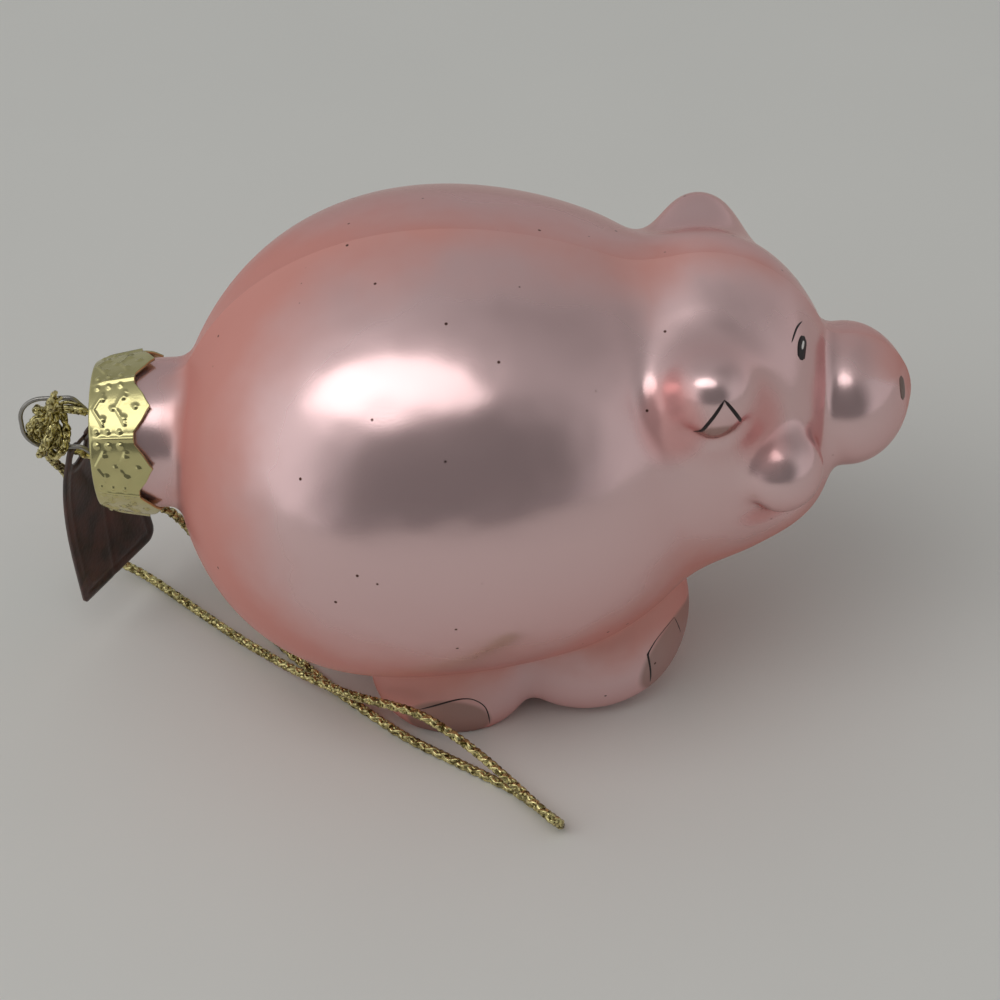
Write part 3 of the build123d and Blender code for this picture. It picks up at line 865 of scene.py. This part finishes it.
# As shares of the cord's thickness: a yarn's own, its distance from the cord's middle and its rise.
YARN_SHARE = 0.46
BRAID_RADIUS = 0.21
BRAID_LIFT = 0.06
KNOT_YARN = 0.85                # pulled tight, the knot's yarns are thinner


def metal_yarn(name, light, dark):
    """Cut metallised film wound on a thread: small bright facets, with olive shadow between the yarns."""
    material, tree, shader, place = start_material(name, {"Metallic": 0.9})
    # The film is laid in strips 0.3 mm wide, so its facets change at that size.
    facets = add_node(tree, "TexVoronoi", {"Vector": place, "Scale": 1 / (0.3 * MM)})
    shade = add_node(tree, "SeparateColor", {0: facets.outputs["Color"]}).outputs
    ramp = add_node(tree, "MapRange", {"Value": shade[0], "From Min": 0.05, "From Max": 0.8})
    tone = add_node(tree, "Mix", {"Factor": ramp, "A": rgba(dark), "B": rgba(light)}, data_type="RGBA")
    gloss = add_node(tree, "MapRange", {"Value": shade[1], "To Min": 0.15, "To Max": 0.38})
    bump = add_node(tree, "Bump", {"Height": shade[2], "Strength": 0.5, "Distance": 0.04 * MM})
    fill(shader, {"Base Color": tone, "Roughness": gloss, "Normal": bump})
    return material


class CordSizes(bpy.types.PropertyGroup):
    length: length_prop("Cord length", "The loop's real length", 0.2, 0.03)
    thickness: length_prop("Cord thickness", "Diameter of the braided cord", 1.2 * MM, 0.0003)
    pitch: length_prop("Braid pitch", "Length of one turn of a yarn round the cord", 3.2 * MM, 0.0005)
    light: colour_prop("Gold yarn", "Bright facets of the film yarn", colour("#e4d89a"))
    dark: colour_prop("Olive yarn", "Dull facets of the film yarn", colour("#57491f"))


def frayed_tail(places, shake):
    """Spreads the loose yarns of one cut end along its line."""
    line, along = evenly(smooth_line("tail_line", np.array(places) * MM), 0.15 * MM)
    frames = side_frames(line)
    share = along / along[-1]
    yarns = []
    for _ in range(TAIL_YARNS):
        angle = shake.uniform(0, 2 * math.pi) + share * shake.uniform(-3, 3)
        spread = (0.3 + 0.4 * share * share * shake.uniform(0.0, 1.0)) * MM
        wave = 0.12 * MM * np.sin(share * shake.uniform(8, 22) + shake.uniform(0, 6))
        left = int(len(line) * shake.uniform(0.7, 1.0))
        yarns.append(beside(line, frames, spread + wave, angle)[:left])
    return yarns


class ORNAMENT_OT_braid_cord(bpy.types.Operator):
    """Braid the metallic cord along its route and tie it to the hanger"""
    bl_idname = "ornament.braid_cord"
    bl_label = "Braid Cord and Knot"

    def execute(self, context):
        sizes = context.scene.ornament_cord
        thick = sizes.thickness
        yarn = metal_yarn("metallised_film_yarn", sizes.light, sizes.dark)
        points, reached = evenly(smooth_line("cord_line", CORD_ROUTE), sizes.pitch / 16)
        mesh = yarn_mesh("braided_cord", braid_lines(points, reached, sizes.pitch, thick), thick * YARN_SHARE)
        cord = add_piece("braided_cord", mesh, yarn, "hanger", ["cord_loop"])

        angle = np.linspace(0, 2 * math.pi, 240)
        out = KNOT_WIDTH + KNOT_TURN * np.cos(KNOT_SWINGS * angle)
        wound = np.column_stack([
            out * np.cos(KNOT_ROUNDS * angle), out * np.sin(KNOT_ROUNDS * angle),
            KNOT_RISE * np.sin(KNOT_SWINGS * angle)])
        lines = []
        for size in KNOT_SIZES:
            line, along = evenly(wound * size * MM + np.array(KNOT_MIDDLE) * MM, sizes.pitch / 14)
            lines += braid_lines(line, along, sizes.pitch, thick)
        shake = np.random.default_rng(7)
        for tail in TAIL_LINES:
            lines += frayed_tail(tail, shake)
        knot_mesh = yarn_mesh("tied_knot", lines, thick * YARN_SHARE * KNOT_YARN)
        knot = add_piece("tied_knot", knot_mesh, yarn, "hanger", ["cord_knot"])
        return {"FINISHED"}


# ---------------------------------------------------------------- the swing tag

# The sheet's shape, as in the part's source: height, the left edge's x and the sheet's heading.
TAG_ROWS = ((6.4, -45.1, 59.0), (14.2, -45.5, 61.5), (22.4, -45.2, 64.0), (29.0, -43.7, 66.0))
TAG_LEFT_Y = 1.5
TAG_WIDTH = 13.6
TAG_HOLE = (2.4, 20.6)          # from the left edge and from the lower one
TAG_HOLE_RADIUS = 1.5
TAG_CORNER = 1.6
TAG_CELLS = (54, 90)            # mesh cells across and up
# The pressed lines: one runs round the tag, and one, the crease, leans a little.
TAG_BORDER, BORDER_WIDTH = 1.1, 0.22
TAG_FOLD, FOLD_LEAN, FOLD_WIDTH, FOLD_SHARE = 5.6, 0.12, 0.3, 0.9
# The punch raises a low swell round the hole.
SWELL_OUT, SWELL_WIDTH, SWELL_HEIGHT = 0.45, 0.3, 0.1


class TagSizes(bpy.types.PropertyGroup):
    brown: colour_prop("Brown", "Colour of the leatherette", colour("#3a2620"))
    grain: length_prop("Leather grain", "Width of one pebble of the grain", 0.45 * MM, 0.0001)
    thickness: length_prop("Tag thickness", "Thickness of the sheet", 0.4 * MM)
    pressing: FloatProperty(
        name="Pressed line", description="Depth of the lines pressed into the tag, in millimetres",
        default=0.07, min=0.0)


def pressed_leatherette(sizes):
    """Coated leatherette: a dark pressed film, glossy on its fine pebbles, reddish where it is rubbed."""
    material, tree, shader, place = start_material(
        "dark_pressed_leatherette", {"IOR": 1.5, "Coat Weight": 0.3, "Coat Roughness": 0.12})
    pebbles = add_node(tree, "TexVoronoi", {"Vector": place, "Scale": 1 / sizes.grain})
    mottle = add_node(tree, "TexNoise", {"Vector": place, "Scale": 1 / (3.0 * MM), "Detail": 5.0})
    rubbed = add_node(tree, "MapRange", {"Value": mottle, "From Min": 0.35, "From Max": 0.7})
    dark, reddish = [rgba(np.multiply(sizes.brown, by)) for by in (0.45, (2.0, 1.5, 1.4))]
    tone = add_node(tree, "Mix", {"Factor": rubbed, "A": dark, "B": reddish}, data_type="RGBA")
    gloss = add_node(tree, "MapRange", {"Value": mottle, "To Min": 0.2, "To Max": 0.5})
    bump = add_node(tree, "Bump", {"Height": pebbles, "Strength": 0.4, "Distance": 0.05 * MM})
    fill(shader, {"Base Color": tone, "Roughness": gloss, "Normal": bump})
    return material


class ORNAMENT_OT_press_tag(bpy.types.Operator):
    """Cut the swing tag, punch its hole and press its lines"""
    bl_idname = "ornament.press_tag"
    bl_label = "Press Swing Tag"

    def execute(self, context):
        sizes = context.scene.ornament_tag
        rows = np.array(TAG_ROWS)
        height = rows[-1, 0] - rows[0, 0]
        bm = bmesh.new()
        bmesh.ops.create_grid(bm, x_segments=TAG_CELLS[0], y_segments=TAG_CELLS[1], size=0.5)
        flat = places_of(bm)[:, :2] + 0.5
        across, up = flat[:, 0] * TAG_WIDTH, flat[:, 1] * height
        # Each corner's square is drawn in onto its round. The left corners are sharper.
        for side, level in ((0, 0), (0, 1), (1, 0), (1, 1)):
            corner = TAG_CORNER if side else TAG_CORNER / 4
            middle = (TAG_WIDTH - corner if side else corner, height - corner if level else corner)
            run, rise = across - middle[0], up - middle[1]
            inside = (run * (2 * side - 1) > 0) & (rise * (2 * level - 1) > 0)
            reach = np.maximum(np.hypot(run, rise), 1e-9)
            shrink = np.where(inside, np.maximum(np.abs(run), np.abs(rise)) / reach, 1.0)
            across, up = middle[0] + run * shrink, middle[1] + rise * shrink
        away = np.hypot(across - TAG_HOLE[0], up - TAG_HOLE[1])
        for vertex, gap in zip(bm.verts, away):
            vertex.tag = bool(gap < TAG_HOLE_RADIUS)
        punched = [face for face in bm.faces if all(vertex.tag for vertex in face.verts)]
        bmesh.ops.delete(bm, geom=punched, context="FACES_ONLY")
        loose = [not vertex.link_faces for vertex in bm.verts]
        rim = np.array([vertex.is_boundary for vertex in bm.verts]) & (away < 1.4 * TAG_HOLE_RADIUS)
        pull = np.where(rim, TAG_HOLE_RADIUS / np.maximum(away, 1e-6), 1.0)
        across, up = TAG_HOLE[0] + (across - TAG_HOLE[0]) * pull, TAG_HOLE[1] + (up - TAG_HOLE[1]) * pull
        edge = np.minimum(np.minimum(across, TAG_WIDTH - across), np.minimum(up, height - up))
        border = np.exp(-np.square((edge - TAG_BORDER) / BORDER_WIDTH))
        fold = FOLD_SHARE * np.exp(-np.square((across - TAG_FOLD - FOLD_LEAN * up) / FOLD_WIDTH))
        swell = np.exp(-np.square((away - TAG_HOLE_RADIUS - SWELL_OUT) / SWELL_WIDTH))
        proud = SWELL_HEIGHT * swell - sizes.pressing * (border + fold)
        # The rows' curve, through their four heights.
        z = rows[0, 0] + up
        left, degrees = [np.polyval(np.polyfit(rows[:, 0], rows[:, i], 3), z) for i in (1, 2)]
        heading = np.radians(degrees)
        move_to(bm, np.column_stack([
            left + across * np.cos(heading) + proud * np.sin(heading),
            TAG_LEFT_Y + across * np.sin(heading) - proud * np.cos(heading), z]))
        bmesh.ops.delete(bm, geom=[vertex for vertex, cut in zip(bm.verts, loose) if cut], context="VERTS")
        bmesh.ops.recalc_face_normals(bm, faces=bm.faces)
        piece = add_piece(
            "pressed_tag", mesh_of(bm, "pressed_tag"), pressed_leatherette(sizes), "tag",
            ["swing_tag"])
        give_wall(piece, "sheet", sizes.thickness, 0.0)
        return {"FINISHED"}


# ---------------------------------------------------------------- floor, light and camera

BOARD_HALF = 1500.0             # half the floor board's width, in millimetres
# One long soft lamp over the rump's side, which the flank mirrors as one long highlight. In metres.
LAMP_SIZE = (0.78, 0.3)
LAMP_TINT = (1.0, 0.985, 0.97)
LAMP_FROM = (0.0, 0.0, 0.03)
LAMP_TOWARD = (-0.30, -0.39, 0.87)
LAMP_DISTANCE = 0.62
LAMP_ENDS = ((-0.755, -0.22, 0.58), (0.215, -0.51, 0.81))      # the lamp runs from one to the other
# The room gives soft light from everywhere. Where it is dimmer: the way there, the cosines of the angle to
# that way at which the dimming starts and is full, and the share of the light that is left.
ROOM_SHADES = (
    ((0.02, -0.94, 0.33), 0.5, 0.9, 0.16),      # low behind the camera
    ((0.0, 0.78, 0.62), 0.0, 1.0, 0.4),         # beyond the pig
    ((0.88, -0.08, 0.47), 0.45, 1.0, 0.6),      # beyond the snout
    ((0.38, -0.15, 0.91), 0.75, 1.0, 0.75),     # overhead
)
ROOM_TINT = (0.98, 1.0, 0.99)
BACKGROUND = 0.48               # what the camera itself sees of the room
# The camera's place, turn and lens were fitted to the photograph.
CAMERA_PLACE = (0.0138, -0.2487, 0.2310)
CAMERA_RIGHT = Vector((0.99888, 0.00183, -0.04735))
CAMERA_UP = Vector((0.03565, 0.62925, 0.77638))
CAMERA_LENS = 105.64
CAMERA_SHIFT = -0.0629


class StageSizes(bpy.types.PropertyGroup):
    floor: colour_prop("Floor", "Colour of the pale board", colour("#e6e5e1"))
    lamp: FloatProperty(
        name="Strip lamp", description="Power of the long soft lamp", default=0.86, min=0.0, unit="POWER")
    surround: FloatProperty(
        name="Surround", description="Brightness of the room's soft light", default=0.88, min=0.0)


def put_up(context, name, data, place, right, up, back):
    """Puts up a lamp or the camera: its place, and its own three directions."""
    thing = bpy.data.objects.new(name, data)
    context.scene.collection.objects.link(thing)
    thing.matrix_world = Matrix.Translation(place) @ Matrix((right, up, back)).transposed().to_4x4()
    return thing


def lay_floor(context, sizes):
    """A matt painted board: even, with the faint cloudiness of a rolled coat."""
    bm = bmesh.new()
    bmesh.ops.create_grid(bm, x_segments=8, y_segments=8, size=BOARD_HALF)
    board = mesh_of(bm, "floor_board")
    floor = bpy.data.objects.new("floor_board", board)
    context.scene.collection.objects.link(floor)
    material, tree, shader, place = start_material("matt_painted_board", {"Roughness": 0.75})
    cloud = add_node(tree, "TexNoise", {"Vector": place, "Scale": 1 / (40 * MM), "Detail": 3.0})
    thin = rgba([c * 0.95 for c in sizes.floor])
    tone = add_node(tree, "Mix", {"Factor": cloud, "A": thin, "B": rgba(sizes.floor)}, data_type="RGBA")
    fill(shader, {"Base Color": tone})
    board.materials.append(material)


def light_room(context, brightness):
    """Lights the world evenly, with its dimmer sides, and gives the camera a plain background."""
    world = bpy.data.worlds.new("soft_room")
    context.scene.world = world
    world.use_nodes = True
    tree = world.node_tree
    way = add_node(tree, "TexCoord").outputs["Generated"]
    level = brightness
    for toward, start, end, left in ROOM_SHADES:
        facing = add_node(tree, "VectorMath", {0: way, 1: toward}, operation="DOT_PRODUCT")
        dim = add_node(
            tree, "MapRange",
            {"Value": facing, "From Min": start, "From Max": end, "To Min": 1.0, "To Max": left},
            interpolation_type="SMOOTHSTEP")
        level = add_node(tree, "Math", {0: level, 1: dim}, operation="MULTIPLY")
    seen = add_node(tree, "LightPath").outputs["Is Camera Ray"]
    strength = add_node(tree, "Mix", {"Factor": seen, "A": level, "B": BACKGROUND}, data_type="FLOAT")
    fill(tree.nodes["Background"], {"Strength": strength, "Color": rgba(ROOM_TINT)})


class ORNAMENT_OT_set_stage(bpy.types.Operator):
    """Lay the pale floor, hang the soft lamp and set the camera"""
    bl_idname = "ornament.set_stage"
    bl_label = "Set Stage"

    def execute(self, context):
        sizes = context.scene.ornament_stage
        lay_floor(context, sizes)
        light_room(context, sizes.surround)

        strip = bpy.data.lights.new("strip_lamp", "AREA")
        strip.shape = "ELLIPSE"
        strip.size, strip.size_y = LAMP_SIZE
        strip.energy = sizes.lamp
        strip.color = LAMP_TINT
        toward = Vector(LAMP_TOWARD).normalized()
        along = Vector(LAMP_ENDS[1]) - Vector(LAMP_ENDS[0])
        along = (along - toward * along.dot(toward)).normalized()
        place = toward * LAMP_DISTANCE + Vector(LAMP_FROM)
        put_up(context, "strip_lamp", strip, place, along, toward.cross(along), toward)

        eye = bpy.data.cameras.new("photo_view")
        eye.lens = CAMERA_LENS
        eye.sensor_width = 36.0
        eye.shift_y = CAMERA_SHIFT
        eye.clip_start = 0.01
        back = CAMERA_RIGHT.cross(CAMERA_UP)
        camera = put_up(context, "photo_view", eye, CAMERA_PLACE, CAMERA_RIGHT, CAMERA_UP, back)
        context.scene.camera = camera
        context.scene.view_settings.view_transform = "Standard"
        return {"FINISHED"}


# ---------------------------------------------------------------- the sidebar and the run

STEPS = (
    ORNAMENT_OT_blow_glass, ORNAMENT_OT_paint_marks, ORNAMENT_OT_stamp_cap, ORNAMENT_OT_finish_hanger,
    ORNAMENT_OT_press_tag, ORNAMENT_OT_braid_cord, ORNAMENT_OT_set_stage,
)
GROUPS = {
    "ornament_glass": GlassSizes, "ornament_ink": InkSizes, "ornament_cap": CapSizes,
    "ornament_cord": CordSizes, "ornament_tag": TagSizes, "ornament_stage": StageSizes,
}


class ORNAMENT_PT_sidebar(bpy.types.Panel):
    """Lists the steps that build the ornament, and their sizes"""
    bl_idname = "ORNAMENT_PT_sidebar"
    bl_label = "Glass Pig Ornament"
    bl_space_type = "VIEW_3D"
    bl_region_type = "UI"
    bl_category = "Ornament"

    def draw(self, context):
        for step in STEPS:
            self.layout.operator(step.bl_idname)
        for name, group in GROUPS.items():
            column = self.layout.column()
            for prop in group.__annotations__:
                column.prop(getattr(context.scene, name), prop)


def register():
    for group in GROUPS.values():
        bpy.utils.register_class(group)
    for step in STEPS:
        bpy.utils.register_class(step)
    bpy.utils.register_class(ORNAMENT_PT_sidebar)
    for name, group in GROUPS.items():
        setattr(bpy.types.Scene, name, PointerProperty(type=group))


def unregister():
    for name in GROUPS:
        delattr(bpy.types.Scene, name)
    bpy.utils.unregister_class(ORNAMENT_PT_sidebar)
    for step in reversed(STEPS):
        bpy.utils.unregister_class(step)
    for group in GROUPS.values():
        bpy.utils.unregister_class(group)


def main():
    register()
    for step in STEPS:
        family, verb = step.bl_idname.split(".")
        getattr(getattr(bpy.ops, family), verb)()


if __name__ == "__main__":
    main()
